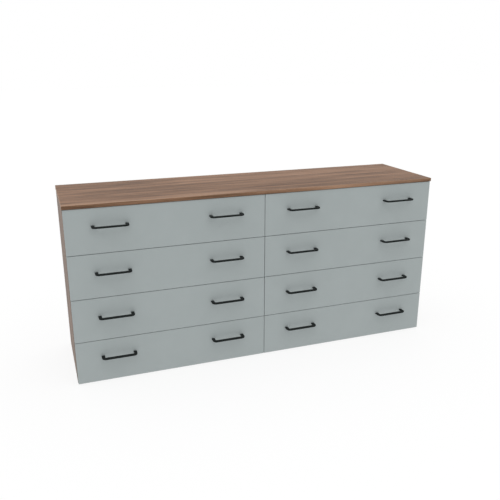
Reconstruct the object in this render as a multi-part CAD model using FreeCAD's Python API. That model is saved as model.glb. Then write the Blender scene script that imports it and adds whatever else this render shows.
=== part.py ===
import FreeCAD, Part
import math
import os

from FreeCAD import Vector

# Wide chest of drawers: two columns of four overlay drawers in a walnut board carcass.
# Millimetres. X runs along the front to the right, Y from the front to the back, Z up.
# The origin is on the floor, under the middle of the whole box with its handles.

# Overall
WIDTH = 2000.0  # top board, end to end
DEPTH = 510.0  # top board, front edge to back edge
HEIGHT = 925.0  # floor to the top board's upper face
ROWS = 4
COLUMNS = 2
COLUMN_NAMES = ("left", "right")

# Carcass boards
TOP_THICKNESS = 18.0
TOP_SIDE_OVERHANG = 2.0  # past the carcass sides
TOP_FRONT_OVERHANG = 4.0  # past the drawer fronts' faces
PANEL_THICKNESS = 18.0  # sides, partition and bottoms
EDGE_RADIUS = 1.0  # eased edges of the top and of the fronts
BACK_THICKNESS = 3.0
BACK_INSET = 10.0  # back board's rear face to the carcass's rear edge
BACK_GROOVE_DEPTH = 6.0
GROOVE_CLEARANCE = 0.2  # each side of a board that sits in a groove

# Floor glides, nailed under the sides and the partition
GLIDE_HEIGHT = 4.5
GLIDE_DIAMETER = 17.0
GLIDE_EDGE_RADIUS = 1.5
GLIDE_NAIL_DIAMETER = 2.4
GLIDE_NAIL_LENGTH = 15.0
GLIDE_INSET = 25.0  # glide centre to the carcass's front or rear edge
NAIL_CLEARANCE = 0.05

# Drawer fronts
FRONT_THICKNESS = 18.0
FRONT_REVEAL = 2.5  # gap between fronts, and above and below them
FRONT_SIDE_REVEAL = 1.0  # front's outer edge to the carcass side's face
FRONT_STANDOFF = 1.5  # gap between a closed front and the carcass's edges

# Drawer boxes
BOX_RISE = 20.0  # front's lower edge to the box's lower edge
BOX_DROP = 32.0  # box's upper edge to the front's upper edge
BOX_BACK_GAP = 25.0  # box to back board
BOX_WALL = 16.0
BOTTOM_THICKNESS = 4.0
BOTTOM_RISE = 12.0  # box's lower edge to its bottom board
BOTTOM_GROOVE_DEPTH = 8.0

# Telescopic ball slides: cabinet, middle and drawer rails, with balls in cages between them
SLIDE_THICKNESS = 12.7
SLIDE_HEIGHT = 45.0
SLIDE_STEEL = 1.2
SLIDE_RISE = 62.0  # box's lower edge to the slide's centreline
SLIDE_BEND_RADIUS = 1.4  # of the strip's middle
SLIDE_WEB_GAP = 1.0  # between the cabinet and middle rails' webs
SLIDE_LIP_GAP = 0.6  # middle rail's lips to the drawer rail's web
SLIDE_LIP_SETBACK = 0.6  # cabinet rail's ball track behind the middle rail's
SLIDE_FRONT_SETBACK = 3.0  # cabinet and middle rails behind the carcass's front edge
LIP_TURN = 100.0  # degrees that a lip hooks over its balls
TRACK_TURN = 45.0  # degrees that the middle rail dips under its outer balls
CATCH_TURN = 70.0  # degrees that the drawer rail's flange turns up beside its balls
SLOT_LENGTH = 9.0  # fixing slots in the webs
SLOT_WIDTH = 4.6
SLOT_SHARES = (0.08, 0.5, 0.92)  # of a rail's length, from its front
BALL_DIAMETER = 3.0
BALL_CLEARANCE = 0.3  # between a ball and its tracks
BALL_PITCH = 20.0
BALLS = 5  # in a row
CAGE_STEEL = 0.4
CAGE_BEND_RADIUS = 0.6
CAGE_MARGIN = 8.0  # past the first and last ball
CAGE_REACH = 0.5  # past the balls' middle, across the slide
CAGE_SETBACK = 12.0  # cage's end to the middle rail's end

# Handles: flat bars bent to a level U
HANDLE_SPACING = 160.0  # leg to leg
HANDLE_WIDTH = 16.0  # of the bar, in the plane of its bends
HANDLE_THICKNESS = 7.0  # of the bar, up and down
HANDLE_PROJECTION = 44.0  # front's face to the bar's outside
HANDLE_BEND_RADIUS = 12.0  # of the bar's middle
HANDLE_EDGE_RADIUS = 1.2
HANDLE_OFFSET = 287.6  # handle's middle to the front's middle
HANDLE_RISES = (24.6, 17.6, 14.8, 23.9)  # above each front's middle, top row first
HANDLE_HOLE_DEPTH = 13.0

# Handle screws
SCREW_DIAMETER = 4.0
SCREW_BITE = 10.0  # into the handle's leg
SCREW_HEAD_DIAMETER = 8.0
SCREW_HEAD_HEIGHT = 2.6
SCREW_HOLE_CLEARANCE = 0.4  # round the shank, in the front
SCREW_THREAD_CLEARANCE = 0.05  # round the shank, in the leg

# Joints of the carcass: beech dowels and cam fittings
DOWEL_DIAMETER = 8.0
DOWEL_LENGTH = 30.0
DOWEL_BITE = 12.0  # into the face of the board it meets
DOWEL_CLEARANCE = 0.1
CAM_DIAMETER = 15.0
CAM_DEPTH = 12.6
CAM_SETBACK = 24.0  # board's edge to the cam's axis
CAM_CLEARANCE = 0.1
BOLT_DIAMETER = 6.0
BOLT_BITE = 11.0
BOLT_CLEARANCE = 0.2
DOWEL_SHARES = (0.12, 0.80)  # of the carcass's depth, from the front
CAM_SHARES = (0.30, 0.62)
JOINT_STAGGER = 36.0  # right bottom's joints behind the left bottom's, in the partition

CUT_OVERRUN = 1.0  # how far cutters run past the faces they open

# Places worked out from the sizes above
CARCASS_WIDTH = WIDTH - 2 * TOP_SIDE_OVERHANG
UPRIGHT_TOP = HEIGHT - TOP_THICKNESS
FRONT_FACE_Y = HANDLE_PROJECTION - (DEPTH + HANDLE_PROJECTION - TOP_FRONT_OVERHANG) / 2
TOP_FRONT_Y = FRONT_FACE_Y - TOP_FRONT_OVERHANG
REAR_Y = TOP_FRONT_Y + DEPTH
FRONT_BACK_Y = FRONT_FACE_Y + FRONT_THICKNESS
CARCASS_FRONT_Y = FRONT_BACK_Y + FRONT_STANDOFF
CARCASS_DEPTH = REAR_Y - CARCASS_FRONT_Y
BACK_FRONT_Y = REAR_Y - BACK_INSET - BACK_THICKNESS
BAY_WIDTH = (CARCASS_WIDTH - (COLUMNS + 1) * PANEL_THICKNESS) / COLUMNS
FRONT_WIDTH = (CARCASS_WIDTH - 2 * FRONT_SIDE_REVEAL - (COLUMNS - 1) * FRONT_REVEAL) / COLUMNS
FRONT_HEIGHT = (UPRIGHT_TOP - GLIDE_HEIGHT - (ROWS + 1) * FRONT_REVEAL) / ROWS
BOX_HEIGHT = FRONT_HEIGHT - BOX_RISE - BOX_DROP
BOX_WIDTH = BAY_WIDTH - 2 * SLIDE_THICKNESS
BOX_BACK_Y = BACK_FRONT_Y - BOX_BACK_GAP
SLIDE_FRONT_Y = CARCASS_FRONT_Y + SLIDE_FRONT_SETBACK

# Section of a slide on a left wall: X from the wall, Z from the slide's centreline
TRACK_RADIUS = BALL_DIAMETER / 2 + BALL_CLEARANCE + SLIDE_STEEL / 2  # ball's middle to the strip's middle
DRAWER_WEB_X = SLIDE_THICKNESS - SLIDE_STEEL / 2
MIDDLE_WEB_X = 3 * SLIDE_STEEL / 2 + SLIDE_WEB_GAP
INNER_BALL_X = SLIDE_THICKNESS - 3 * SLIDE_STEEL / 2 - SLIDE_LIP_GAP - TRACK_RADIUS
OUTER_BALL_X = INNER_BALL_X - SLIDE_LIP_SETBACK
CABINET_FLANGE_Z = SLIDE_HEIGHT / 2 - SLIDE_STEEL / 2
OUTER_BALL_Z = CABINET_FLANGE_Z - TRACK_RADIUS
INNER_BALL_Z = OUTER_BALL_Z - 2 * TRACK_RADIUS
DRAWER_FLANGE_Z = INNER_BALL_Z - TRACK_RADIUS
OUTER_CAGE_X = SLIDE_STEEL + SLIDE_WEB_GAP / 2
INNER_CAGE_X = (MIDDLE_WEB_X + SLIDE_STEEL / 2 + INNER_BALL_X - TRACK_RADIUS - SLIDE_STEEL / 2) / 2
CAGE_LENGTH = (BALLS - 1) * BALL_PITCH + 2 * CAGE_MARGIN


def block(low, high):
    """Box from its lowest corner to its highest."""
    size = [b - a for a, b in zip(low, high)]
    return Part.makeBox(*size, Vector(*low))


def rod(start, direction, diameter, length):
    """Round bar from a point along a direction."""
    return Part.makeCylinder(diameter / 2, length, Vector(*start), Vector(*direction))


def eased(solid):
    """Solid with every edge rounded by the boards' edge radius."""
    return solid.makeFillet(EDGE_RADIUS, solid.Edges)


def without(solid, cutters):
    """Solid with all cutters taken away, as one clean solid."""
    return solid.cut(cutters).removeSplitter() if cutters else solid


def along(point, direction, distance):
    """Point moved along a direction."""
    return tuple(p + d * distance for p, d in zip(point, direction))


def bay_middle(column):
    """X of the middle of a bay."""
    first = -CARCASS_WIDTH / 2 + PANEL_THICKNESS + BAY_WIDTH / 2
    return first + column * (BAY_WIDTH + PANEL_THICKNESS)


def front_middle(column):
    """X of the middle of a column of fronts."""
    first = -CARCASS_WIDTH / 2 + FRONT_SIDE_REVEAL + FRONT_WIDTH / 2
    return first + column * (FRONT_WIDTH + FRONT_REVEAL)


def front_bottom(row):
    """Z of a front's lower edge, with row 0 at the top."""
    return UPRIGHT_TOP - (row + 1) * (FRONT_HEIGHT + FRONT_REVEAL)


# Joints of the carcass


def dowel_joint(edge, outward):
    """Dowel across a joint: (dowel, its hole). Edge is a point on the joint, outward leaves the board."""
    inside = DOWEL_LENGTH - DOWEL_BITE
    dowel = rod(along(edge, outward, -inside), outward, DOWEL_DIAMETER, DOWEL_LENGTH)
    hole_start = along(edge, outward, -inside - DOWEL_CLEARANCE)
    hole = rod(hole_start, outward, DOWEL_DIAMETER + 2 * DOWEL_CLEARANCE, DOWEL_LENGTH + 2 * DOWEL_CLEARANCE)
    return dowel, hole


def cam_joint(edge, outward, opening):
    """Cam fitting: (cam, bolt, pocket and bolt hole). The cam's face looks along opening."""
    axis_point = along(edge, outward, -CAM_SETBACK)
    face = along(axis_point, opening, PANEL_THICKNESS / 2)
    inward = tuple(-d for d in opening)
    bolt = rod(axis_point, outward, BOLT_DIAMETER, CAM_SETBACK + BOLT_BITE)
    bolt_hole = rod(
        axis_point, outward, BOLT_DIAMETER + 2 * BOLT_CLEARANCE, CAM_SETBACK + BOLT_BITE + BOLT_CLEARANCE
    )
    cam = rod(face, inward, CAM_DIAMETER, CAM_DEPTH).cut(bolt_hole)
    pocket = rod(
        along(face, opening, CUT_OVERRUN),
        inward,
        CAM_DIAMETER + 2 * CAM_CLEARANCE,
        CAM_DEPTH + CAM_CLEARANCE + CUT_OVERRUN,
    )
    return cam, bolt, [pocket, bolt_hole]


def joint_line(edge_at, outward, opening, shift=0.0):
    """Fittings along one joint: (dowels, cams, bolts, cutters). edge_at gives the joint's point at a Y."""
    dowels, cams, bolts, cutters = [], [], [], []
    for share in DOWEL_SHARES:
        edge = edge_at(CARCASS_FRONT_Y + share * CARCASS_DEPTH + shift)
        dowel, hole = dowel_joint(edge, outward)
        dowels.append(dowel)
        cutters.append(hole)
    for share in CAM_SHARES:
        edge = edge_at(CARCASS_FRONT_Y + share * CARCASS_DEPTH + shift)
        cam, bolt, pockets = cam_joint(edge, outward, opening)
        cams.append(cam)
        bolts.append(bolt)
        cutters.extend(pockets)
    return dowels, cams, bolts, cutters


# Carcass


def upright_lefts():
    """X of the left face of each upright: left side, partition, right side."""
    return [-CARCASS_WIDTH / 2 + k * (BAY_WIDTH + PANEL_THICKNESS) for k in range(COLUMNS + 1)]


def top_joints():
    """Joints between the uprights and the top, one line for each upright."""
    lines = []
    for k, left in enumerate(upright_lefts()):
        middle = left + PANEL_THICKNESS / 2
        opening = (-1, 0, 0) if k == COLUMNS else (1, 0, 0)
        lines.append(joint_line(lambda y, x=middle: (x, y, UPRIGHT_TOP), (0, 0, 1), opening))
    return lines


def bottom_joints():
    """Joints between the bottoms and the uprights, two lines for each bottom."""
    lines = []
    level = GLIDE_HEIGHT + PANEL_THICKNESS / 2
    for column in range(COLUMNS):
        for side in (-1, 1):
            end = bay_middle(column) + side * BAY_WIDTH / 2
            shift = column * JOINT_STAGGER
            lines.append(joint_line(lambda y, x=end: (x, y, level), (side, 0, 0), (0, 0, -1), shift))
    return lines


def back_groove():
    """Cutter for the groove that the back boards sit in, across the whole width."""
    return block(
        (-CARCASS_WIDTH / 2 + PANEL_THICKNESS - BACK_GROOVE_DEPTH, BACK_FRONT_Y - GROOVE_CLEARANCE, 0),
        (
            CARCASS_WIDTH / 2 - PANEL_THICKNESS + BACK_GROOVE_DEPTH,
            BACK_FRONT_Y + BACK_THICKNESS + GROOVE_CLEARANCE,
            UPRIGHT_TOP + BACK_GROOVE_DEPTH + GROOVE_CLEARANCE,
        ),
    )


def partition_core():
    """The middle of the partition, which the back grooves leave whole."""
    half = PANEL_THICKNESS / 2 - BACK_GROOVE_DEPTH
    return block((-half, CARCASS_FRONT_Y, 0), (half, REAR_Y, UPRIGHT_TOP))


def glide_places():
    """Foot points of the glides, two under each upright."""
    rows = (CARCASS_FRONT_Y + GLIDE_INSET, REAR_Y - GLIDE_INSET)
    return [(left + PANEL_THICKNESS / 2, y, 0) for left in upright_lefts() for y in rows]


def floor_glides():
    """Round nail-on glides."""
    glides = []
    for place in glide_places():
        disc = rod(place, (0, 0, 1), GLIDE_DIAMETER, GLIDE_HEIGHT)
        foot_edge = [e for e in disc.Edges if e.BoundBox.ZMax < GLIDE_HEIGHT / 2]
        disc = disc.makeFillet(GLIDE_EDGE_RADIUS, foot_edge)
        nail = rod(along(place, (0, 0, 1), GLIDE_HEIGHT), (0, 0, 1), GLIDE_NAIL_DIAMETER, GLIDE_NAIL_LENGTH)
        glides.append(disc.fuse(nail).removeSplitter())
    return glides


def nail_holes():
    """Cutters for the glides' nails."""
    diameter = GLIDE_NAIL_DIAMETER + 2 * NAIL_CLEARANCE
    length = GLIDE_HEIGHT + GLIDE_NAIL_LENGTH + NAIL_CLEARANCE
    return [rod(place, (0, 0, 1), diameter, length) for place in glide_places()]


def top_panel(cutters):
    """Top board with eased edges, the back groove and the joints' holes in its underside."""
    board = block((-WIDTH / 2, TOP_FRONT_Y, UPRIGHT_TOP), (WIDTH / 2, REAR_Y, HEIGHT))
    return without(eased(board), cutters + [back_groove()])


def upright(left, cutters, groove):
    """Side or partition, from the glides to the top."""
    board = block((left, CARCASS_FRONT_Y, GLIDE_HEIGHT), (left + PANEL_THICKNESS, REAR_Y, UPRIGHT_TOP))
    return without(board, cutters + [groove] + nail_holes())


def bottom_panel(column, cutters):
    """Bottom board between two uprights, in front of the back board."""
    half = BAY_WIDTH / 2
    middle = bay_middle(column)
    low = (middle - half, CARCASS_FRONT_Y, GLIDE_HEIGHT)
    high = (middle + half, BACK_FRONT_Y - GROOVE_CLEARANCE, GLIDE_HEIGHT + PANEL_THICKNESS)
    return without(block(low, high), cutters)


def back_panel(column):
    """Thin back board, held in the grooves of the uprights and the top."""
    half = BAY_WIDTH / 2 + BACK_GROOVE_DEPTH - GROOVE_CLEARANCE
    middle = bay_middle(column)
    low = (middle - half, BACK_FRONT_Y, GLIDE_HEIGHT)
    return block(low, (middle + half, BACK_FRONT_Y + BACK_THICKNESS, UPRIGHT_TOP + BACK_GROOVE_DEPTH))


# Bent strips


class BentStrip:
    """Edges of a strip of even thickness, laid out by runs and bends along its middle line."""

    def __init__(self, start, thickness):
        """Starts at a point (across, along) and heads along the second axis."""
        self.point = start
        self.heading = math.pi / 2
        self.half = thickness / 2
        self.edges = []

    def beside(self, side, point, heading):
        """Point on one face of the strip: side is 1 for its left and -1 for its right."""
        away = heading + side * math.pi / 2
        return Vector(point[0] + self.half * math.cos(away), 0, point[1] + self.half * math.sin(away))

    def run(self, length):
        """Goes straight on."""
        end = along(self.point, (math.cos(self.heading), math.sin(self.heading)), length)
        for side in (-1, 1):
            line = Part.LineSegment(
                self.beside(side, self.point, self.heading), self.beside(side, end, self.heading)
            )
            self.edges.append(line.toShape())
        self.point = end
        return self

    def bend(self, degrees, radius):
        """Turns left by an angle, or right if it is negative, round a radius of the middle line."""
        left = math.copysign(math.pi / 2, degrees)
        middle = along(self.point, (math.cos(self.heading + left), math.sin(self.heading + left)), radius)
        stops = [self.heading + share * math.radians(degrees) for share in (0, 0.5, 1)]
        points = [along(middle, (math.cos(h - left), math.sin(h - left)), radius) for h in stops]
        for side in (-1, 1):
            arc = Part.Arc(*[self.beside(side, p, h) for p, h in zip(points, stops)])
            self.edges.append(arc.toShape())
        self.point = points[-1]
        self.heading = stops[-1]
        return self

    def profile(self):
        """Face of the strip and its mirror image below the start, as one profile."""
        tip = Part.LineSegment(
            self.beside(-1, self.point, self.heading), self.beside(1, self.point, self.heading)
        ).toShape()
        upper = self.edges + [tip]
        lower = [edge.mirror(Vector(0, 0, 0), Vector(0, 0, 1)) for edge in upper]
        return Part.Face(Part.Wire(Part.__sortEdges__(upper + lower)))


# Telescopic slides


def cabinet_profile():
    """Cabinet rail: a web on the wall, and flanges that hook over the outer balls."""
    strip = BentStrip((SLIDE_STEEL / 2, 0), SLIDE_STEEL)
    strip.run(CABINET_FLANGE_Z - SLIDE_BEND_RADIUS).bend(-90, SLIDE_BEND_RADIUS)
    return strip.run(OUTER_BALL_X - strip.point[0]).bend(-LIP_TURN, TRACK_RADIUS).profile()


def middle_profile():
    """Middle rail: shoulders that dip under the outer balls, then hook over the inner ones."""
    turn = math.radians(TRACK_TURN)
    dip_x = OUTER_BALL_X - TRACK_RADIUS * math.sin(turn)
    dip_z = OUTER_BALL_Z - TRACK_RADIUS * math.cos(turn)
    shoulder = (dip_x - MIDDLE_WEB_X) / (1 + math.sin(turn))
    strip = BentStrip((MIDDLE_WEB_X, 0), SLIDE_STEEL)
    strip.run(dip_z - shoulder * math.cos(turn)).bend(-90 - TRACK_TURN, shoulder)
    strip.bend(TRACK_TURN, TRACK_RADIUS).run(SLIDE_LIP_SETBACK)
    return strip.bend(-LIP_TURN, TRACK_RADIUS).profile()


def drawer_profile():
    """Drawer rail: a web on the drawer, and flanges that turn up beside the inner balls."""
    strip = BentStrip((DRAWER_WEB_X, 0), SLIDE_STEEL)
    strip.run(DRAWER_FLANGE_Z - SLIDE_BEND_RADIUS).bend(90, SLIDE_BEND_RADIUS)
    return strip.run(strip.point[0] - INNER_BALL_X).bend(-CATCH_TURN, TRACK_RADIUS).profile()


def cage(web_x, ball_x, ball_z):
    """Ball cage from Y = 0: a thin channel with a row of balls in each of its two flanges."""
    strip = BentStrip((web_x, 0), CAGE_STEEL)
    strip.run(ball_z - CAGE_BEND_RADIUS).bend(-90, CAGE_BEND_RADIUS)
    strip.run(ball_x + CAGE_REACH - strip.point[0])
    body = strip.profile().extrude(Vector(0, CAGE_LENGTH, 0))
    rows = [CAGE_MARGIN + k * BALL_PITCH for k in range(BALLS)]
    places = [Vector(ball_x, y, side * ball_z) for y in rows for side in (-1, 1)]
    return body.fuse([Part.makeSphere(BALL_DIAMETER / 2, place) for place in places])


def slotted(solid, web_x, length):
    """Rail from Y = 0 with its fixing slots cut through its web."""
    reach = SLIDE_STEEL / 2 + CUT_OVERRUN
    straight = SLOT_LENGTH - SLOT_WIDTH
    cutters = []
    for share in SLOT_SHARES:
        start = share * length - straight / 2
        low = (web_x - reach, start, -SLOT_WIDTH / 2)
        cutters.append(block(low, (web_x + reach, start + straight, SLOT_WIDTH / 2)))
        for y in (start, start + straight):
            cutters.append(rod((web_x - reach, y, 0), (1, 0, 0), SLOT_WIDTH, 2 * reach))
    return without(solid, cutters)


def slide_pair(solid, front_y, column, row):
    """A piece of a slide at both walls of a bay. It is drawn on a left wall, from Y = 0 to the back."""
    half = BAY_WIDTH / 2
    level = front_bottom(row) + BOX_RISE + SLIDE_RISE
    pair = [solid.copy(), solid.mirror(Vector(0, 0, 0), Vector(1, 0, 0))]
    for side, piece in zip((-1, 1), pair):
        piece.translate(Vector(bay_middle(column) + side * half, front_y, level))
    return pair


def cabinet_rails(column, row):
    """Outer rails, fixed to the carcass."""
    length = BOX_BACK_Y - SLIDE_FRONT_Y
    solid = slotted(cabinet_profile().extrude(Vector(0, length, 0)), SLIDE_STEEL / 2, length)
    return slide_pair(solid, SLIDE_FRONT_Y, column, row)


def middle_rails(column, row):
    """Middle rails, which run half as far as the drawer, with their ball cages."""
    solid = middle_profile().extrude(Vector(0, BOX_BACK_Y - SLIDE_FRONT_Y, 0))
    outer = cage(OUTER_CAGE_X, OUTER_BALL_X, OUTER_BALL_Z)
    inner = cage(INNER_CAGE_X, INNER_BALL_X, INNER_BALL_Z)
    return [
        *slide_pair(solid, SLIDE_FRONT_Y, column, row),
        *slide_pair(outer, BOX_BACK_Y - CAGE_SETBACK - CAGE_LENGTH, column, row),
        *slide_pair(inner, SLIDE_FRONT_Y + CAGE_SETBACK, column, row),
    ]


def drawer_rails(column, row):
    """Inner rails, fixed to the drawer box."""
    length = BOX_BACK_Y - FRONT_BACK_Y
    solid = slotted(drawer_profile().extrude(Vector(0, length, 0)), DRAWER_WEB_X, length)
    return slide_pair(solid, FRONT_BACK_Y, column, row)


# Drawers


def handle_places(column, row):
    """Middle of each handle of a front, on the front's face."""
    level = front_bottom(row) + FRONT_HEIGHT / 2 + HANDLE_RISES[row]
    return [(front_middle(column) + side * HANDLE_OFFSET, FRONT_FACE_Y, level) for side in (-1, 1)]


def leg_places(column, row):
    """Foot of each handle leg, on the front's face."""
    return [
        (x + side * HANDLE_SPACING / 2, y, z) for x, y, z in handle_places(column, row) for side in (-1, 1)
    ]


def handle(place):
    """Handle: a flat bar bent to a level U, with eased edges and a blind screw hole in each leg."""
    half = HANDLE_SPACING / 2
    middle = HANDLE_PROJECTION - HANDLE_WIDTH / 2
    strip = BentStrip((middle, 0), HANDLE_WIDTH)
    strip.run(half - HANDLE_BEND_RADIUS).bend(90, HANDLE_BEND_RADIUS).run(middle - HANDLE_BEND_RADIUS)
    bar = strip.profile().extrude(Vector(0, HANDLE_THICKNESS, 0))
    bar.translate(Vector(0, -HANDLE_THICKNESS / 2, 0))
    level = [e for e in bar.Edges if e.BoundBox.YLength < HANDLE_THICKNESS / 2]
    long_edges = [e for e in level if e.BoundBox.XMax > HANDLE_THICKNESS / 2]
    bar = bar.makeFillet(HANDLE_EDGE_RADIUS, long_edges)
    hole = SCREW_DIAMETER + 2 * SCREW_THREAD_CLEARANCE
    bar = bar.cut([rod((0, 0, side * half), (1, 0, 0), hole, HANDLE_HOLE_DEPTH) for side in (-1, 1)])
    bar.rotate(Vector(0, 0, 0), Vector(1, -1, -1), 120)  # lies level, with its bar to the front
    bar.translate(Vector(*place))
    return bar


def handle_screw(foot):
    """Pan-head machine screw from the back of the front into a handle's leg."""
    head_face = (foot[0], FRONT_BACK_Y, foot[2])
    head = rod(head_face, (0, 1, 0), SCREW_HEAD_DIAMETER, SCREW_HEAD_HEIGHT)
    shank = rod(head_face, (0, -1, 0), SCREW_DIAMETER, FRONT_THICKNESS + SCREW_BITE)
    return head.fuse(shank).removeSplitter()


def drawer_front(column, row):
    """Front board with eased edges, the bottom's groove and the handle screws' holes."""
    middle = front_middle(column)
    low = front_bottom(row)
    board = eased(
        block(
            (middle - FRONT_WIDTH / 2, FRONT_FACE_Y, low),
            (middle + FRONT_WIDTH / 2, FRONT_BACK_Y, low + FRONT_HEIGHT),
        )
    )
    hole = SCREW_DIAMETER + 2 * SCREW_HOLE_CLEARANCE
    holes = [
        rod(along(foot, (0, -1, 0), CUT_OVERRUN), (0, 1, 0), hole, FRONT_THICKNESS + 2 * CUT_OVERRUN)
        for foot in leg_places(column, row)
    ]
    return without(board, holes + [bottom_groove(column, row)])


def box_bottom_level(row):
    """Z of the underside of a drawer's bottom board."""
    return front_bottom(row) + BOX_RISE + BOTTOM_RISE


def bottom_groove(column, row):
    """Cutter for the groove that a drawer's bottom board sits in, in the sides and the front."""
    half = BOX_WIDTH / 2 - BOX_WALL + BOTTOM_GROOVE_DEPTH
    middle = bay_middle(column)
    level = box_bottom_level(row)
    return block(
        (middle - half, FRONT_BACK_Y - BOTTOM_GROOVE_DEPTH, level - GROOVE_CLEARANCE),
        (middle + half, BOX_BACK_Y + CUT_OVERRUN, level + BOTTOM_THICKNESS + GROOVE_CLEARANCE),
    )


def box_walls(column, row):
    """Left side, right side and back of a drawer box. The back stands on the bottom board."""
    middle = bay_middle(column)
    half = BOX_WIDTH / 2
    low = front_bottom(row) + BOX_RISE
    high = low + BOX_HEIGHT
    groove = bottom_groove(column, row)
    left = block((middle - half, FRONT_BACK_Y, low), (middle - half + BOX_WALL, BOX_BACK_Y, high))
    right = block((middle + half - BOX_WALL, FRONT_BACK_Y, low), (middle + half, BOX_BACK_Y, high))
    back = block(
        (middle - half + BOX_WALL, BOX_BACK_Y - BOX_WALL, box_bottom_level(row) + BOTTOM_THICKNESS),
        (middle + half - BOX_WALL, BOX_BACK_Y, high),
    )
    return [without(left, [groove]), without(right, [groove]), back]


def box_bottom(column, row):
    """Bottom board of a drawer box, in its grooves and under the back."""
    half = BOX_WIDTH / 2 - BOX_WALL + BOTTOM_GROOVE_DEPTH - GROOVE_CLEARANCE
    middle = bay_middle(column)
    level = box_bottom_level(row)
    return block(
        (middle - half, FRONT_BACK_Y - BOTTOM_GROOVE_DEPTH + GROOVE_CLEARANCE, level),
        (middle + half, BOX_BACK_Y, level + BOTTOM_THICKNESS),
    )


# The whole chest


def carcass_nodes():
    """Every fixed piece, by node name."""
    over_top = top_joints()
    at_bottoms = bottom_joints()
    dowels = [d for line in over_top + at_bottoms for d in line[0]]
    fittings = [c for line in over_top + at_bottoms for c in line[1] + line[2]]
    top_cuts = [c for line in over_top for c in line[3]]
    bottom_cuts = [c for line in at_bottoms for c in line[3]]
    lefts = upright_lefts()
    groove = back_groove()
    rails = [r for column in range(COLUMNS) for row in range(ROWS) for r in cabinet_rails(column, row)]
    nodes = {
        "top_panel": [top_panel(top_cuts)],
        "left_side_panel": [upright(lefts[0], top_cuts + bottom_cuts, groove)],
        "centre_partition": [upright(lefts[1], top_cuts + bottom_cuts, groove.cut(partition_core()))],
        "right_side_panel": [upright(lefts[2], top_cuts + bottom_cuts, groove)],
        "floor_glides": floor_glides(),
        "joint_dowels": dowels,
        "cam_fittings": fittings,
        "cabinet_slide_rails": rails,
    }
    for column, name in enumerate(COLUMN_NAMES):
        nodes[f"{name}_bottom_panel"] = [bottom_panel(column, bottom_cuts)]
        nodes[f"{name}_back_panel"] = [back_panel(column)]
    return nodes


def drawer_nodes(column, row):
    """Every piece of one drawer and its middle rails, by node name."""
    name = f"{COLUMN_NAMES[column]}_drawer_{row + 1}"
    handles = [handle(place) for place in handle_places(column, row)]
    screws = [handle_screw(foot) for foot in leg_places(column, row)]
    return {
        f"{name}_front": [drawer_front(column, row)],
        f"{name}_handles": handles + screws,
        f"{name}_box_walls": box_walls(column, row),
        f"{name}_box_bottom": [box_bottom(column, row)],
        f"{name}_drawer_rails": drawer_rails(column, row),
        f"{name}_middle_rails": middle_rails(column, row),
    }


def main():
    """Builds every node and writes one STEP file for each."""
    os.makedirs("parts", exist_ok=True)
    nodes = carcass_nodes()
    for column in range(COLUMNS):
        for row in range(ROWS):
            nodes.update(drawer_nodes(column, row))
    for name, solids in nodes.items():
        shape = solids[0] if len(solids) == 1 else Part.makeCompound(solids)
        shape.exportStep(f"parts/{name}.step")


main()
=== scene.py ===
import logging
import math
from abc import ABC, abstractmethod
from collections.abc import Callable, Iterable, Iterator, Mapping, Sequence
from contextlib import contextmanager
from dataclasses import dataclass, field
from enum import Enum

import bmesh
import bpy
from mathutils import Matrix, Vector


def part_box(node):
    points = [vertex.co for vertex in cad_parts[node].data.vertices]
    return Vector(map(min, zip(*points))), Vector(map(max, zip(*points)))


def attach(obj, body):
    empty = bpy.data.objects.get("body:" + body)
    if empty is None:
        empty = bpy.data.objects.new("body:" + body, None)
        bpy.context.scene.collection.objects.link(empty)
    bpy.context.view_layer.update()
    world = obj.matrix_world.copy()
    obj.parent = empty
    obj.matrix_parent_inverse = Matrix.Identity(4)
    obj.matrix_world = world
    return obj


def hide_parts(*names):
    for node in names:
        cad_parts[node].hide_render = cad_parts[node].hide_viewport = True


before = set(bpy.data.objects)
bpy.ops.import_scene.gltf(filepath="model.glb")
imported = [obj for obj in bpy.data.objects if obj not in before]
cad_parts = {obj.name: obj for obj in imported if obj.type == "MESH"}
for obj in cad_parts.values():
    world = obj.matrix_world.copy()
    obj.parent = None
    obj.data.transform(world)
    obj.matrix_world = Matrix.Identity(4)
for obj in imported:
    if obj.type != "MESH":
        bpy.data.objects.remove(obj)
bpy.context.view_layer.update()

log = logging.getLogger("chest")

Colour = tuple[float, float, float, float]
MM = 0.001  # the script works in metres, and sizes are named in millimetres
MERGE = 0.001 * MM  # points nearer than this are one point
ROWS = (1, 2, 3, 4)  # of drawers, counted from the top
RIGHT = Vector((1.0, 0.0, 0.0))
BACK = Vector((0.0, 1.0, 0.0))
UP = Vector((0.0, 0.0, 1.0))
SQUARE_ON = 0.99  # cosine past which a modelled face looks straight along a direction
FACE_ON = 0.9  # the same in a finish, which takes in the start of an eased edge
RESIN_IOR = 1.5  # of laminate, lacquer and plastic
# A Mix node has a set of sockets for each kind of value, with the same names, so they go by number.
MIX_SHARE = 0
VECTOR_A, VECTOR_B, VECTOR_OUT = 4, 5, 1
COLOUR_A, COLOUR_B, COLOUR_OUT = 6, 7, 2


def srgb(code: str) -> Colour:
    """Linear colour of an sRGB hex value.

    Args:
        code: six hex digits with a leading mark, such as "#98a0a0".

    Returns:
        Red, green, blue and alpha in linear light.
    """
    parts = [int(code[i : i + 2], 16) / 255 for i in (1, 3, 5)]
    linear = [c / 12.92 if c <= 0.04045 else ((c + 0.055) / 1.055) ** 2.4 for c in parts]
    return (linear[0], linear[1], linear[2], 1.0)


def grey(light: float) -> Colour:
    """Linear colour without hue."""
    return (light, light, light, 1.0)


def per_mm(size: float) -> float:
    """Texture scale, in repeats per metre, of a pattern that is this many millimetres long."""
    return 1.0 / (size * MM)


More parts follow.
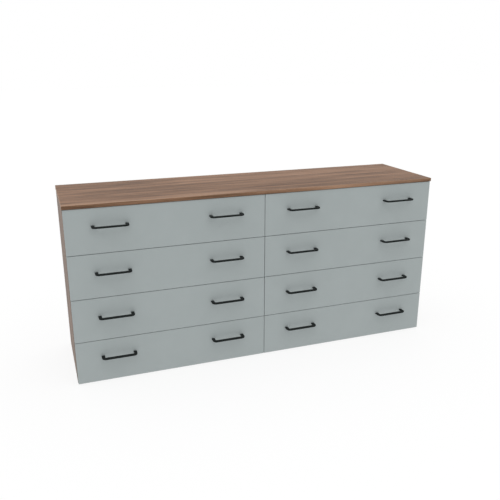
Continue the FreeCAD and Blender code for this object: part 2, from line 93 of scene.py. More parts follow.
def add_node(
    tree: bpy.types.NodeTree,
    kind: str,
    inputs: Mapping[str | int, object] | None = None,
    stops: Sequence[tuple[float, Colour]] = (),
    **settings: object,
) -> bpy.types.Node:
    """Adds a node with its settings, socket values and links.

    Args:
        tree: node tree that gets the node.
        kind: Blender's name of the node type, without its prefix.
        inputs: socket name or number to a value, or to the output socket that feeds it.
        stops: places and colours of a colour ramp.
        settings: attributes of the node.

    Returns:
        The new node.
    """
    node = tree.nodes.new(f"ShaderNode{kind}")
    for name, value in settings.items():
        setattr(node, name, value)
    for socket, value in (inputs or {}).items():
        if isinstance(value, bpy.types.NodeSocket):
            tree.links.new(value, node.inputs[socket])
        else:
            node.inputs[socket].default_value = value
    if stops:
        elements = node.color_ramp.elements
        while len(elements) < len(stops):
            elements.new(1.0)
        for element, (place, colour) in zip(elements, stops):
            element.position = place
            element.color = colour
    return node


def looks(tree: bpy.types.NodeTree, facing: bpy.types.NodeSocket, way: Vector) -> bpy.types.NodeSocket:
    """Finds where a surface looks a given way.

    Args:
        tree: node tree of the finish.
        facing: the surface's normal.
        way: the direction.

    Returns:
        1 where the surface looks that way, and 0 elsewhere.
    """
    toward = {0: facing, 1: way}
    cosine = add_node(tree, "VectorMath", toward, operation="DOT_PRODUCT").outputs["Value"]
    return add_node(tree, "Math", {0: cosine, 1: FACE_ON}, operation="GREATER_THAN").outputs[0]


class Column(Enum):
    """One of the two columns of drawers."""

    LEFT = "left"
    RIGHT = "right"


class Grain(Enum):
    """Way that a grain runs on a piece, as the turn that lays it along X."""

    ALONG_FRONT = (0.0, 0.0, 0.0)
    UPRIGHT = (0.0, math.pi / 2, 0.0)
    FRONT_TO_BACK = (0.0, 0.0, math.pi / 2)


@dataclass(frozen=True)
class Cloud:
    """A cloudy pattern of a real size, which may be drawn out along the grain."""

    along_mm: float
    across_mm: float
    detail: float = 2.0  # how many finer patterns are laid into it
    roughness: float = 0.5  # how strong these are
    warp: float = 0.0  # how wavy its outlines are

    def lay(self, tree: bpy.types.NodeTree, place: bpy.types.NodeSocket) -> bpy.types.NodeSocket:
        """Lays the pattern over a surface.

        Args:
            tree: node tree of the finish.
            place: coordinates in metres, with the grain along X.

        Returns:
            The pattern's value, from 0 to 1 about a half.
        """
        scale = (per_mm(self.along_mm), per_mm(self.across_mm), per_mm(self.across_mm))
        sized = add_node(tree, "Mapping", {"Vector": place, "Scale": scale}).outputs["Vector"]
        values = {"Vector": sized, "Scale": 1.0, "Detail": self.detail}
        values |= {"Roughness": self.roughness, "Distortion": self.warp}
        return add_node(tree, "TexNoise", values).outputs["Fac"]


@dataclass(frozen=True)
class PaleStreakAndSheen:
    """A paler patch on one face of a board, which fades out all round; it draws the print's paler streaks
    and painted sheen where the board catches more light.
    """

    middle: tuple[float, float, float]
    reach: tuple[float, float, float]  # from its middle to where it is gone
    facing: Vector  # way that the board's face with the streak looks
    strength: float

    def lay(
        self, tree: bpy.types.NodeTree, place: bpy.types.NodeSocket, facing: bpy.types.NodeSocket
    ) -> bpy.types.NodeSocket:
        """Lays the paler patch on its face of a board.

        Args:
            tree: node tree of the finish.
            place: coordinates in metres.
            facing: the surface's normal.

        Returns:
            The patch's share of the colour, from 0 to its strength.
        """
        about = {"Vector": place, "Location": self.middle, "Scale": self.reach}
        sized = add_node(tree, "Mapping", about, vector_type="TEXTURE").outputs["Vector"]
        far = add_node(tree, "VectorMath", {0: sized}, operation="LENGTH").outputs["Value"]
        fades = {"Value": far, "From Min": 1.0, "From Max": 0.0, "To Max": self.strength}
        share = add_node(tree, "MapRange", fades, interpolation_type="SMOOTHSTEP").outputs["Result"]
        on_face = looks(tree, facing, self.facing)
        return add_node(tree, "Math", {0: share, 1: on_face}, operation="MULTIPLY").outputs[0]


@dataclass(frozen=True)
class Finish(ABC):
    """A surface finish, made as one procedural material."""

    name: str
    slot: str

    def material(self) -> bpy.types.Material:
        """The finish's material.

        Returns:
            The material, which is made at its first use.
        """
        found = bpy.data.materials.get(self.name)
        if found:
            return found
        made = bpy.data.materials.new(self.name)
        made.use_nodes = True
        tree = made.node_tree
        tree.nodes.clear()
        shader = add_node(tree, "BsdfPrincipled")
        add_node(tree, "OutputMaterial", {"Surface": shader.outputs["BSDF"]})
        self.paint(tree, shader)
        return made

    @abstractmethod
    def paint(self, tree: bpy.types.NodeTree, shader: bpy.types.Node) -> None:
        """Adds the finish's nodes and links them to the shader."""

    def connect(
        self,
        tree: bpy.types.NodeTree,
        shader: bpy.types.Node,
        colour: bpy.types.NodeSocket,
        gloss: bpy.types.NodeSocket,
        relief: Mapping[str | int, object],
    ) -> None:
        """Links the patterns of a finish to its shader.

        Args:
            tree: node tree of the material.
            shader: the material's shader.
            colour: pattern of the colour.
            gloss: pattern of the roughness.
            relief: height, strength and distance of the bump.
        """
        bump = add_node(tree, "Bump", relief).outputs["Normal"]
        for socket, pattern in (("Base Color", colour), ("Roughness", gloss), ("Normal", bump)):
            tree.links.new(pattern, shader.inputs[socket])

    def dress(self, piece: bpy.types.Object) -> None:
        """Gives a piece this finish all over."""
        piece.data.materials.clear()
        piece.data.materials.append(self.material())


@dataclass(frozen=True)
class WalnutLaminate(Finish):
    """Walnut-grain melamine laminate on chipboard, pressed between satin plates.

    To the eye: long soft streaks of brown along the board, fine darker pores, and a low satin sheen.
    """

    grain: Grain = Grain.ALONG_FRONT
    shift: tuple[float, float, float] = (0.0, 0.0, 0.0)  # of the print, in metres, so that boards differ
    tones: tuple[str, str, str, str] = ("#523a2b", "#6e533f", "#82634d", "#967660")
    tone_stops: tuple[float, float, float, float] = (0.40, 0.47, 0.53, 0.62)
    figure: Cloud = Cloud(900.0, 70.0, detail=3.0, warp=0.6)
    figure_weight: float = 0.34
    # Real streaks are 3 to 8 mm wide. They are drawn wider, because the top is seen low from far off.
    streak: Cloud = Cloud(460.0, 16.0, detail=4.0, roughness=0.6, warp=0.3)
    streak_weight: float = 0.42
    fibre: Cloud = Cloud(90.0, 2.2)
    fibre_weight: float = 0.24
    pore: Cloud = Cloud(16.0, 0.8, detail=1.0, roughness=0.4)
    pore_fade: tuple[float, float] = (0.30, 0.42)  # of the pattern, at a pore's middle and rim
    pore_dark: float = 0.75  # share of the colour that a pore keeps
    pore_depth_mm: float = 0.06
    relief: float = 0.3  # strength of the bump
    # paler patches and their colour: the print's paler streaks, and painted sheen where the board catches
    # more light
    streaks_and_painted_sheen: tuple[PaleStreakAndSheen, ...] = ()
    streak_and_sheen_tone: str = "#b08d74"
    trim_and_highlight: float = 0.0  # how much of a pale line shows on rounded edges: the trimmed edge band, and a painted highlight
    trim_and_highlight_tone: str = "#cdac91"
    trim_and_highlight_fade: tuple[float, float] = (0.9, 0.6)  # of the flatness, at the line's rim and middle
    end_share: float = 0.5  # of a normal's square that lies along X on a board's ends
    bare: tuple[Vector, ...] = ()  # ways that the board's bare edges face
    chip_mm: tuple[float, float, float] = (5.0, 1.1, 1.1)
    chip_tones: tuple[str, str, str] = ("#8d765a", "#a58d6f", "#b9a387")
    chip_stops: tuple[float, float, float] = (0.2, 0.5, 0.8)
    roughness: float = 0.45
    roughness_spread: float = 0.16
    specular: float = 0.12

    def paint(self, tree: bpy.types.NodeTree, shader: bpy.types.Node) -> None:
        """Adds figure, streaks, fibres and pores, then the paler patches, which are partly painted sheen,
        and what shows along the board's edges, with a painted highlight on the rounded ones.

        Args:
            tree: node tree of the material.
            shader: the material's shader.
        """
        spot = add_node(tree, "TexCoord")
        facing = spot.outputs["Normal"]
        place = self.grain_lines(tree, spot.outputs["Object"], facing)
        layers = (self.figure, self.streak, self.fibre, self.pore)
        figure, streak, fibre, pore = (layer.lay(tree, place) for layer in layers)
        tone = add_node(tree, "Math", {0: fibre, 1: self.fibre_weight}, operation="MULTIPLY").outputs[0]
        for layer, weight in ((figure, self.figure_weight), (streak, self.streak_weight)):
            added = {0: layer, 1: weight, 2: tone}
            tone = add_node(tree, "Math", added, operation="MULTIPLY_ADD").outputs[0]
        stops = list(zip(self.tone_stops, map(srgb, self.tones)))
        colour = add_node(tree, "ValToRGB", {"Fac": tone}, stops).outputs["Color"]
        # paler patches: the print's own streaks and painted sheen, mixed into the colour
        for strip in self.streaks_and_painted_sheen:
            share = strip.lay(tree, spot.outputs["Object"], facing)
            paler = {MIX_SHARE: share, COLOUR_A: colour, COLOUR_B: srgb(self.streak_and_sheen_tone)}
            colour = add_node(tree, "Mix", paler, data_type="RGBA").outputs[COLOUR_OUT]
        middle, rim = self.pore_fade
        fades = {"Value": pore, "From Min": middle, "From Max": rim, "To Min": self.pore_dark}
        dashes = add_node(tree, "MapRange", fades).outputs["Result"]
        darker = {MIX_SHARE: 1.0, COLOUR_A: colour, COLOUR_B: dashes}
        mixed = add_node(tree, "Mix", darker, data_type="RGBA", blend_type="MULTIPLY")
        colour = mixed.outputs[COLOUR_OUT]
        spread = {0: streak, 1: self.roughness_spread, 2: self.roughness - self.roughness_spread / 2}
        gloss = add_node(tree, "Math", spread, operation="MULTIPLY_ADD").outputs[0]
        # painted highlight on rounded edges, with the paler trimmed edge band
        if self.trim_and_highlight:
            line = self.trim_and_highlight_line(tree, facing)
            pale = {MIX_SHARE: line, COLOUR_A: colour, COLOUR_B: srgb(self.trim_and_highlight_tone)}
            colour = add_node(tree, "Mix", pale, data_type="RGBA").outputs[COLOUR_OUT]
        for way in self.bare:
            edge = looks(tree, facing, way)
            chips = {MIX_SHARE: edge, COLOUR_A: colour, COLOUR_B: self.chipboard(tree, place)}
            colour = add_node(tree, "Mix", chips, data_type="RGBA").outputs[COLOUR_OUT]
            gloss = add_node(tree, "Math", {0: gloss, 1: edge}, operation="MAXIMUM").outputs[0]
        height = add_node(tree, "Math", {0: dashes, 1: fibre}, operation="ADD").outputs[0]
        relief = {"Height": height, "Strength": self.relief, "Distance": self.pore_depth_mm * MM}
        self.connect(tree, shader, colour, gloss, relief)
        shader.inputs["IOR"].default_value = RESIN_IOR
        shader.inputs["Specular IOR Level"].default_value = self.specular

    def trim_and_highlight_line(self, tree: bpy.types.NodeTree, facing: bpy.types.NodeSocket) -> bpy.types.NodeSocket:
        """The pale line along rounded edges: the trimmed edge band, and a painted highlight where the
        rounding catches light.

        Args:
            tree: node tree of the material.
            facing: the surface's normal.

        Returns:
            The line's share of the colour.
        """
        # The squares of a normal add up to 1, and their own squares to about a half on a rounded edge.
        twice = {0: facing, 1: facing}
        squares = add_node(tree, "VectorMath", twice, operation="MULTIPLY").outputs["Vector"]
        twice = {0: squares, 1: squares}
        flat = add_node(tree, "VectorMath", twice, operation="DOT_PRODUCT").outputs["Value"]
        rim, middle = self.trim_and_highlight_fade
        rounds = {"Value": flat, "From Min": rim, "From Max": middle, "To Max": self.trim_and_highlight}
        return add_node(tree, "MapRange", rounds).outputs["Result"]

    def chipboard(self, tree: bpy.types.NodeTree, place: bpy.types.NodeSocket) -> bpy.types.NodeSocket:
        """Colour of the board's raw chipboard: pale and dark chips, pressed flat.

        Args:
            tree: node tree of the material.
            place: coordinates in metres, with the grain along X.

        Returns:
            The colour.
        """
        scale = tuple(per_mm(size) for size in self.chip_mm)
        sized = add_node(tree, "Mapping", {"Vector": place, "Scale": scale}).outputs["Vector"]
        cells = add_node(tree, "TexVoronoi", {"Vector": sized, "Scale": 1.0}).outputs["Color"]
        stops = list(zip(self.chip_stops, map(srgb, self.chip_tones)))
        return add_node(tree, "ValToRGB", {"Fac": cells}, stops).outputs["Color"]

    def grain_lines(
        self, tree: bpy.types.NodeTree, place: bpy.types.NodeSocket, facing: bpy.types.NodeSocket
    ) -> bpy.types.NodeSocket:
        """Coordinates that follow the grain, which on a board's end runs along the edge band.

        Args:
            tree: node tree of the material.
            place: coordinates in metres.
            facing: the surface's normal.

        Returns:
            Coordinates in metres, with the grain along X.
        """
        turn = {"Vector": place, "Location": self.shift, "Rotation": self.grain.value}
        board = add_node(tree, "Mapping", turn).outputs["Vector"]
        if self.grain is not Grain.ALONG_FRONT:
            return board
        turn["Rotation"] = Grain.FRONT_TO_BACK.value
        band = add_node(tree, "Mapping", turn).outputs["Vector"]
        sideways = add_node(tree, "SeparateXYZ", {"Vector": facing}).outputs["X"]
        square = add_node(tree, "Math", {0: sideways, 1: sideways}, operation="MULTIPLY").outputs[0]
        past = {0: square, 1: self.end_share}
        at_end = add_node(tree, "Math", past, operation="GREATER_THAN").outputs[0]
        either = {MIX_SHARE: at_end, VECTOR_A: board, VECTOR_B: band}
        return add_node(tree, "Mix", either, data_type="VECTOR").outputs[VECTOR_OUT]


@dataclass(frozen=True)
class SprayedFilm(Finish):
    """A sprayed or pressed film of one colour: lacquer, powder coat, melamine or moulded plastic.

    To the eye: an even colour with a faint cloudiness, and a fine skin that breaks up the sheen.
    """

    colour: str
    cloud: str  # the colour where the film is a little thinner
    drift: Cloud
    skin: Cloud
    skin_height_mm: float
    roughness: float
    roughness_spread: float = 0.08
    specular: float = 0.5
    drift_stops: tuple[float, float] = (0.35, 0.65)
    relief: float = 0.4  # strength of the bump

    def paint(self, tree: bpy.types.NodeTree, shader: bpy.types.Node) -> None:
        """Adds the cloudiness of the colour and the bump of the skin.

        Args:
            tree: node tree of the material.
            shader: the material's shader.
        """
        place = add_node(tree, "TexCoord").outputs["Object"]
        drift = self.drift.lay(tree, place)
        skin = self.skin.lay(tree, place)
        stops = list(zip(self.drift_stops, (srgb(self.cloud), srgb(self.colour))))
        colour = add_node(tree, "ValToRGB", {"Fac": drift}, stops).outputs["Color"]
        spread = {0: skin, 1: self.roughness_spread, 2: self.roughness - self.roughness_spread / 2}
        gloss = add_node(tree, "Math", spread, operation="MULTIPLY_ADD").outputs[0]
        relief = {"Height": skin, "Strength": self.relief, "Distance": self.skin_height_mm * MM}
        self.connect(tree, shader, colour, gloss, relief)
        shader.inputs["IOR"].default_value = RESIN_IOR
        shader.inputs["Specular IOR Level"].default_value = self.specular


@dataclass(frozen=True)
class PlatedSteel(Finish):
    """Rolled or cast metal with bright zinc plate.

    To the eye: a cool grey metal, streaked along its rolling, with a faint bluish bloom.
    """

    colour: str = "#c0c3c6"
    bloom: str = "#b5babf"
    rolling: Cloud = Cloud(60.0, 0.9)
    haze: Cloud = Cloud(18.0, 18.0, detail=3.0, roughness=0.6)
    roughness: float = 0.34
    roughness_spread: float = 0.2
    haze_stops: tuple[float, float] = (0.4, 0.6)
    streak_depth_mm: float = 0.02
    relief: float = 0.2  # strength of the bump

    def paint(self, tree: bpy.types.NodeTree, shader: bpy.types.Node) -> None:
        """Adds the rolling streaks, along Y, and the bloom.

        Args:
            tree: node tree of the material.
            shader: the material's shader.
        """
        spot = add_node(tree, "TexCoord").outputs["Object"]
        turn = {"Vector": spot, "Rotation": Grain.FRONT_TO_BACK.value}
        place = add_node(tree, "Mapping", turn).outputs["Vector"]
        streak = self.rolling.lay(tree, place)
        haze = self.haze.lay(tree, place)
        stops = list(zip(self.haze_stops, (srgb(self.bloom), srgb(self.colour))))
        colour = add_node(tree, "ValToRGB", {"Fac": haze}, stops).outputs["Color"]
        spread = {0: streak, 1: self.roughness_spread, 2: self.roughness - self.roughness_spread / 2}
        gloss = add_node(tree, "Math", spread, operation="MULTIPLY_ADD").outputs[0]
        relief = {"Height": streak, "Strength": self.relief, "Distance": self.streak_depth_mm * MM}
        self.connect(tree, shader, colour, gloss, relief)
        shader.inputs["Metallic"].default_value = 1.0


TOP_LOW, TOP_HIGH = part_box("top_panel")
# Pressed laminate with the grain from end to end. Paler strips along the front are partly the print's own
# streak and partly painted sheen, lighter where the top catches more light; the paler right part of the
# front edge band is painted sheen; the rounded edges carry a pale line that is partly the trimmed band and
# partly a painted highlight.
WALNUT_TOP = WalnutLaminate(
    "walnut_laminate_top",
    "walnut_board",
    shift=(0.4, 0.1, 0.0),
    streaks_and_painted_sheen=(
        # partly the print's paler streak along the front, partly painted sheen that fades towards the back
        PaleStreakAndSheen((-1.0, TOP_LOW.y, TOP_HIGH.z), (1.0, 0.045, 1.0), facing=UP, strength=0.6),
        PaleStreakAndSheen((-0.3, TOP_LOW.y, TOP_HIGH.z), (0.4, 0.16, 1.0), facing=UP, strength=0.3),
        # painted sheen: the right part of the front edge band drawn paler, as it catches more light at a
        # grazing view
        PaleStreakAndSheen((0.55, TOP_LOW.y, TOP_HIGH.z), (0.75, 1.0, 0.03), facing=-BACK, strength=0.55),
    ),
    # pale line on the rounded edges: the trimmed band, and a painted highlight
    trim_and_highlight=0.45,
    bare=(BACK,),
)
# The same laminate with the grain upright, from a duller sheet that shines less. Its tones are darker than
# the top's, which is painted shade for the uprights standing in their own shade.
WALNUT_SIDE_IN_PAINTED_SHADE = WalnutLaminate(
    "walnut_laminate_upright_painted_shade",
    "walnut_board",
    grain=Grain.UPRIGHT,
    shift=(0.31, 0.0, 0.17),
    # darker tones than the top's: painted shade of the uprights
    tones=("#4a3629", "#634d3c", "#755b49", "#876d59"),
    bare=(BACK, -UP),
    specular=0.08,
)
# The same laminate as on the top, in another part of the print.
WALNUT_BASE = WalnutLaminate("walnut_laminate_bottom", "walnut_board", shift=(0.0, 0.43, 0.0))
# Printed paper on thin fibreboard: the same grain, but flat, with little contrast and no shine.
PRINTED_BACK = WalnutLaminate(
    "walnut_print_fibreboard",
    "back_board",
    grain=Grain.UPRIGHT,
    shift=(0.0, 0.0, 0.57),
    tones=("#59442f", "#68503c", "#735a46", "#7c6450"),
    roughness=0.6,
)
# Turned and bare beech: pale, close in tone and dull, with the grain along the dowel.
PLAIN_BEECH = WalnutLaminate(
    "plain_beech_dowel",
    "beech",
    grain=Grain.UPRIGHT,
    tones=("#a98357", "#b48f64", "#bd9a70", "#c9a880"),
    roughness=0.6,
)
# Sprayed silk lacquer on fibreboard: an even cool grey, with a soft sheen over a fine orange peel.
GREY_LACQUER = SprayedFilm(
    "grey_silk_lacquer",
    "front_grey",
    colour="#9ca4a4",
    cloud="#9aa2a2",
    drift=Cloud(90.0, 90.0, detail=3.0),
    skin=Cloud(1.4, 1.4, detail=1.0),
    skin_height_mm=0.03,
    roughness=0.5,
)
# Baked powder coat on steel: near black, with a fine grit that leaves it almost no shine.
BLACK_POWDER = SprayedFilm(
    "black_powder_coat",
    "handle_black",
    colour="#121716",
    cloud="#0f1413",
    drift=Cloud(25.0, 25.0, detail=3.0),
    skin=Cloud(0.5, 0.5, detail=1.0),
    skin_height_mm=0.05,
    roughness=0.5,
    roughness_spread=0.1,
    specular=0.15,
)
# Pressed melamine on chipboard: a warm off-white with a faint pearl in its sheen.
PALE_MELAMINE = SprayedFilm(
    "pale_melamine_board",
    "drawer_board",
    colour="#cdcac3",
    cloud="#cac7c0",
    drift=Cloud(60.0, 60.0, detail=3.0),
    skin=Cloud(0.9, 0.9, detail=1.0),
    skin_height_mm=0.02,
    roughness=0.45,
)
# Painted face of thin fibreboard: duller than the walls, and mottled by the fibres under the paint.
FACED_FIBREBOARD = SprayedFilm(
    "pale_faced_fibreboard",
    "drawer_base",
    colour="#c9c6bf",
    cloud="#c5c2bb",
    drift=Cloud(8.0, 8.0, detail=4.0, roughness=0.7),
    skin=Cloud(1.2, 1.2, detail=1.0),
    skin_height_mm=0.03,
    roughness=0.55,
)
# Moulded polypropylene: close to the board's colour, a little darker and glossier.
MOULDED_CAP = SprayedFilm(
    "moulded_pale_cap",
    "drawer_board",
    colour="#bdbab3",
    cloud="#b9b6af",
    drift=Cloud(6.0, 6.0),
    skin=Cloud(0.6, 0.6, detail=1.0),
    skin_height_mm=0.03,
    roughness=0.4,
)
# Moulded nylon: black, with the waxy sheen of a spark-eroded mould.
MOULDED_NYLON = SprayedFilm(
    "moulded_black_nylon",
    "glide_plastic",
    colour="#1b1b1c",
    cloud="#161617",
    drift=Cloud(20.0, 20.0, detail=3.0),
    skin=Cloud(0.7, 0.7, detail=1.0),
    skin_height_mm=0.04,
    roughness=0.45,
)
# Rolled steel strip with bright zinc plate: it glints in streaks along its length.
BRIGHT_ZINC = PlatedSteel("bright_zinc_steel", "slide_steel")
# Die-cast zinc alloy: darker and duller, with a blotchy casting skin instead of streaks.
CAST_ZINC = PlatedSteel(
    "cast_zinc_fitting",
    "zinc_casting",
    colour="#a9abad",
    bloom="#94979a",
    rolling=Cloud(8.0, 4.0),
    haze=Cloud(5.0, 5.0, detail=3.0, roughness=0.6),
    roughness=0.45,
)


@contextmanager
def editing(piece: bpy.types.Object) -> Iterator[bmesh.types.BMesh]:
    """Edit mode on one piece.

    Args:
        piece: the piece to edit, alone.

    Yields:
        Its edit mesh, for choosing what an operator works on.
    """
    bpy.ops.object.select_all(action="DESELECT")
    bpy.context.view_layer.objects.active = piece
    piece.select_set(True)
    bpy.ops.object.mode_set(mode="EDIT")
    try:
        yield bmesh.from_edit_mesh(piece.data)
    finally:
        bpy.ops.object.mode_set(mode="OBJECT")
        piece.select_set(False)


def choose_faces(
    piece: bpy.types.Object, mesh: bmesh.types.BMesh, test: Callable[[bmesh.types.BMFace], bool]
) -> None:
    """Selects, in edit mode, just the faces that pass a test.

    Args:
        piece: the piece that is being edited.
        mesh: its edit mesh.
        test: says whether a face is selected.
    """
    bpy.ops.mesh.select_all(action="DESELECT")
    bpy.ops.mesh.select_mode(type="FACE")
    for face in mesh.faces:
        face.select_set(test(face))
    bmesh.update_edit_mesh(piece.data)


def extrude(move: tuple[float, float, float]) -> None:
    """Extrudes what is selected in edit mode."""
    bpy.ops.mesh.extrude_region_move(TRANSFORM_OT_translate={"value": move})


def copied(piece: bpy.types.Object, name: str, place: Vector, facing: Vector = BACK) -> bpy.types.Object:
    """A copy of a piece with its own mesh, whose object stays at the origin.

    Args:
        piece: the piece to copy, which is modelled about the origin.
        name: name of the copy.
        place: where the piece's origin goes.
        facing: which way its +Y side looks.

    Returns:
        The copy.
    """
    twin = piece.copy()
    twin.data = piece.data.copy()
    twin.name = twin.data.name = name
    bpy.context.scene.collection.objects.link(twin)
    turn = BACK.rotation_difference(facing).to_matrix().to_4x4()
    twin.data.transform(Matrix.Translation(place) @ turn)
    return twin


def joined(pieces: Sequence[bpy.types.Object], name: str) -> bpy.types.Object:
    """Several pieces made one object.

    Args:
        pieces: the pieces, of which the first one stays.
        name: name of the whole.

    Returns:
        The joined object.
    """
    bpy.ops.object.select_all(action="DESELECT")
    for piece in pieces:
        piece.select_set(True)
    bpy.context.view_layer.objects.active = pieces[0]
    if len(pieces) > 1:
        bpy.ops.object.join()
    pieces[0].name = pieces[0].data.name = name
    pieces[0].select_set(False)
    return pieces[0]


def smooth(piece: bpy.types.Object, degrees: float = 35.0) -> None:
    """Smooth shading across every edge that bends less than an angle.

    Args:
        piece: the piece to shade.
        degrees: the angle.
    """
    bpy.ops.object.select_all(action="DESELECT")
    bpy.context.view_layer.objects.active = piece
    piece.select_set(True)
    bpy.ops.object.shade_smooth_by_angle(angle=math.radians(degrees))
    piece.select_set(False)


def install(piece: bpy.types.Object, finish: Finish, body: str, node: str | None = None) -> None:
    """Finishes a modelled piece and lets it ride on a body.

    Args:
        piece: the piece, in its place.
        finish: its finish.
        body: the body that carries it.
        node: the frame's node that it stands for, if any.
    """
    finish.dress(piece)
    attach(piece, body)
    if node:
        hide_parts(node)
    log.info("%s: %d faces in %s", piece.name, len(piece.data.polygons), finish.name)


@dataclass(frozen=True)
class BarHandle:
    """Flat bar bent to a level U, modelled once and copied to every front."""

    spacing: float = 160.0 * MM  # leg to leg
    width: float = 16.0 * MM  # of the bar, in the plane of its bends
    thickness: float = 7.0 * MM  # of the bar, up and down
    projection: float = 44.0 * MM
    bend: float = 12.0 * MM  # of the bar's middle
    bend_steps: int = 12
    edge: float = 1.2 * MM  # rounding of the bar's edges
    edge_steps: int = 4
    foot_ease: float = 0.4 * MM
    foot_steps: int = 2

    def build(self) -> bpy.types.Object:
        """Models the handle, centred on X and Z, with its feet on Y = 0 and its bar towards -Y.

        Returns:
            The handle, to be copied.
        """
        half = self.spacing / 2
        straight = self.projection - self.width / 2 - self.bend
        piece = self.section(-half)
        with editing(piece):
            bpy.ops.mesh.select_all(action="SELECT")
            extrude((0.0, -straight, 0.0))
            self.turn(-half + self.bend, -straight)
            extrude((self.spacing - 2 * self.bend, 0.0, 0.0))
            self.turn(half - self.bend, -straight)
            extrude((0.0, straight, 0.0))
            bpy.ops.mesh.select_all(action="SELECT")
            bpy.ops.mesh.remove_doubles(threshold=MERGE)
            bpy.ops.mesh.normals_make_consistent(inside=False)
        with editing(piece) as mesh:
            choose_faces(piece, mesh, lambda f: f.normal.y > SQUARE_ON and f.calc_center_median().y > -MM)
            bpy.ops.mesh.bevel(offset=self.foot_ease, segments=self.foot_steps, affect="EDGES")
        smooth(piece)
        return piece

    def section(self, x: float) -> bpy.types.Object:
        """The bar's section with its eased corners, facing Y.

        Args:
            x: place of the section's middle.

        Returns:
            A flat piece, to be extruded.
        """
        bpy.ops.object.select_all(action="DESELECT")
        upright = (math.pi / 2, 0.0, 0.0)
        bpy.ops.mesh.primitive_plane_add(size=1.0, location=(x, 0.0, 0.0), rotation=upright)
        piece = bpy.context.object
        piece.scale = (self.width, self.thickness, 1.0)
        bpy.ops.object.transform_apply(location=True, rotation=True, scale=True)
        with editing(piece):
            bpy.ops.mesh.select_all(action="SELECT")
            bpy.ops.mesh.bevel(offset=self.edge, segments=self.edge_steps, affect="VERTICES")
        return piece

    def turn(self, x: float, y: float) -> None:
        """Bends the selected end of the bar round a point by a quarter turn.

        Args:
            x: the point's place along the bar.
            y: the point's place in front of the feet.
        """
        quarter = math.pi / 2
        bpy.ops.mesh.spin(steps=self.bend_steps, angle=quarter, center=(x, y, 0.0), axis=-UP, dupli=False)


@dataclass(frozen=True)
class Fastener:
    """A turned fastener: a round head towards +Y, with or without a cross recess, and a shank behind it."""

    head: float  # diameter
    height: float  # of the head
    shank: float  # diameter
    length: float  # of the shank
    ease: float  # of the head's edge
    recess: float = 0.0  # from tip to tip of the cross
    recess_depth: float = 0.0
    rim: float = 0.0  # raised round the head's face
    rim_height: float = 0.4 * MM
    ease_steps: int = 3
    sides: int = 24
    recess_share: float = 0.25  # width of a slot of the cross, of its length

    def build(self) -> bpy.types.Object:
        """Models the fastener with the head's seat on Y = 0.

        Returns:
            The fastener, to be copied.
        """
        bpy.ops.object.select_all(action="DESELECT")
        bpy.ops.mesh.primitive_cylinder_add(
            vertices=self.sides,
            radius=self.head / 2,
            depth=self.height,
            location=(0.0, self.height / 2, 0.0),
            rotation=(math.pi / 2, 0.0, 0.0),
        )
        piece = bpy.context.object
        bpy.ops.object.transform_apply(location=True, rotation=True, scale=True)
        with editing(piece) as mesh:
            choose_faces(piece, mesh, lambda f: f.normal.y > SQUARE_ON)
            bpy.ops.mesh.bevel(offset=self.ease, segments=self.ease_steps, affect="EDGES")
        with editing(piece) as mesh:
            choose_faces(piece, mesh, lambda f: f.normal.y < -SQUARE_ON)
            bpy.ops.mesh.inset(thickness=(self.head - self.shank) / 2)
            extrude((0.0, -self.length, 0.0))
        if self.rim:
            with editing(piece) as mesh:
                choose_faces(piece, mesh, lambda f: f.normal.y > SQUARE_ON)
                bpy.ops.mesh.inset(thickness=self.rim)
                extrude((0.0, -self.rim_height, 0.0))
        if self.recess:
            self.cut_recess(piece)
        smooth(piece)
        return piece

    def cut_recess(self, piece: bpy.types.Object) -> None:
        """Sinks two crossed slots into the head.

        Args:
            piece: the fastener.
        """
        width = self.recess * self.recess_share
        for size in ((self.recess, width), (width, self.recess)):
            bpy.ops.object.select_all(action="DESELECT")
            bpy.ops.mesh.primitive_cube_add(size=1.0, location=(0.0, self.height, 0.0))
            cutter = bpy.context.object
            cutter.scale = (size[0], 2 * self.recess_depth, size[1])
            bpy.ops.object.transform_apply(location=True, rotation=True, scale=True)
            bpy.context.view_layer.objects.active = piece
            cut = piece.modifiers.new("recess", "BOOLEAN")
            cut.object = cutter
            cut.operation = "DIFFERENCE"
            bpy.ops.object.modifier_apply(modifier=cut.name)
            bpy.data.objects.remove(cutter)


class Pattern(Enum):
    """What is modelled once and copied, with its sizes."""

    HANDLE = BarHandle()
    HANDLE_SCREW = Fastener(
        head=8.0 * MM,
        height=2.6 * MM,
        shank=4.0 * MM,
        length=28.0 * MM,
        ease=1.1 * MM,
        recess=4.6 * MM,
        recess_depth=1.5 * MM,
    )
    RAIL_SCREW = Fastener(
        head=7.0 * MM,
        height=2.0 * MM,
        shank=3.5 * MM,
        length=13.0 * MM,
        ease=0.9 * MM,
        recess=3.8 * MM,
        recess_depth=1.2 * MM,
    )
    BACK_NAIL = Fastener(
        head=5.0 * MM,
        height=0.8 * MM,
        shank=1.6 * MM,
        length=20.0 * MM,
        ease=0.3 * MM,
    )
    CAM = Fastener(
        head=15.0 * MM,
        height=4.0 * MM,
        shank=11.0 * MM,
        length=8.6 * MM,
        ease=0.4 * MM,
        recess=7.0 * MM,
        recess_depth=3.0 * MM,
        rim=1.2 * MM,
    )
    CAM_BOLT = Fastener(
        head=6.0 * MM,
        height=27.0 * MM,
        shank=4.0 * MM,
        length=8.0 * MM,
        ease=1.0 * MM,
    )
    CAM_CAP = Fastener(
        head=17.0 * MM,
        height=1.2 * MM,
        shank=14.0 * MM,
        length=3.0 * MM,
        ease=0.6 * MM,
    )


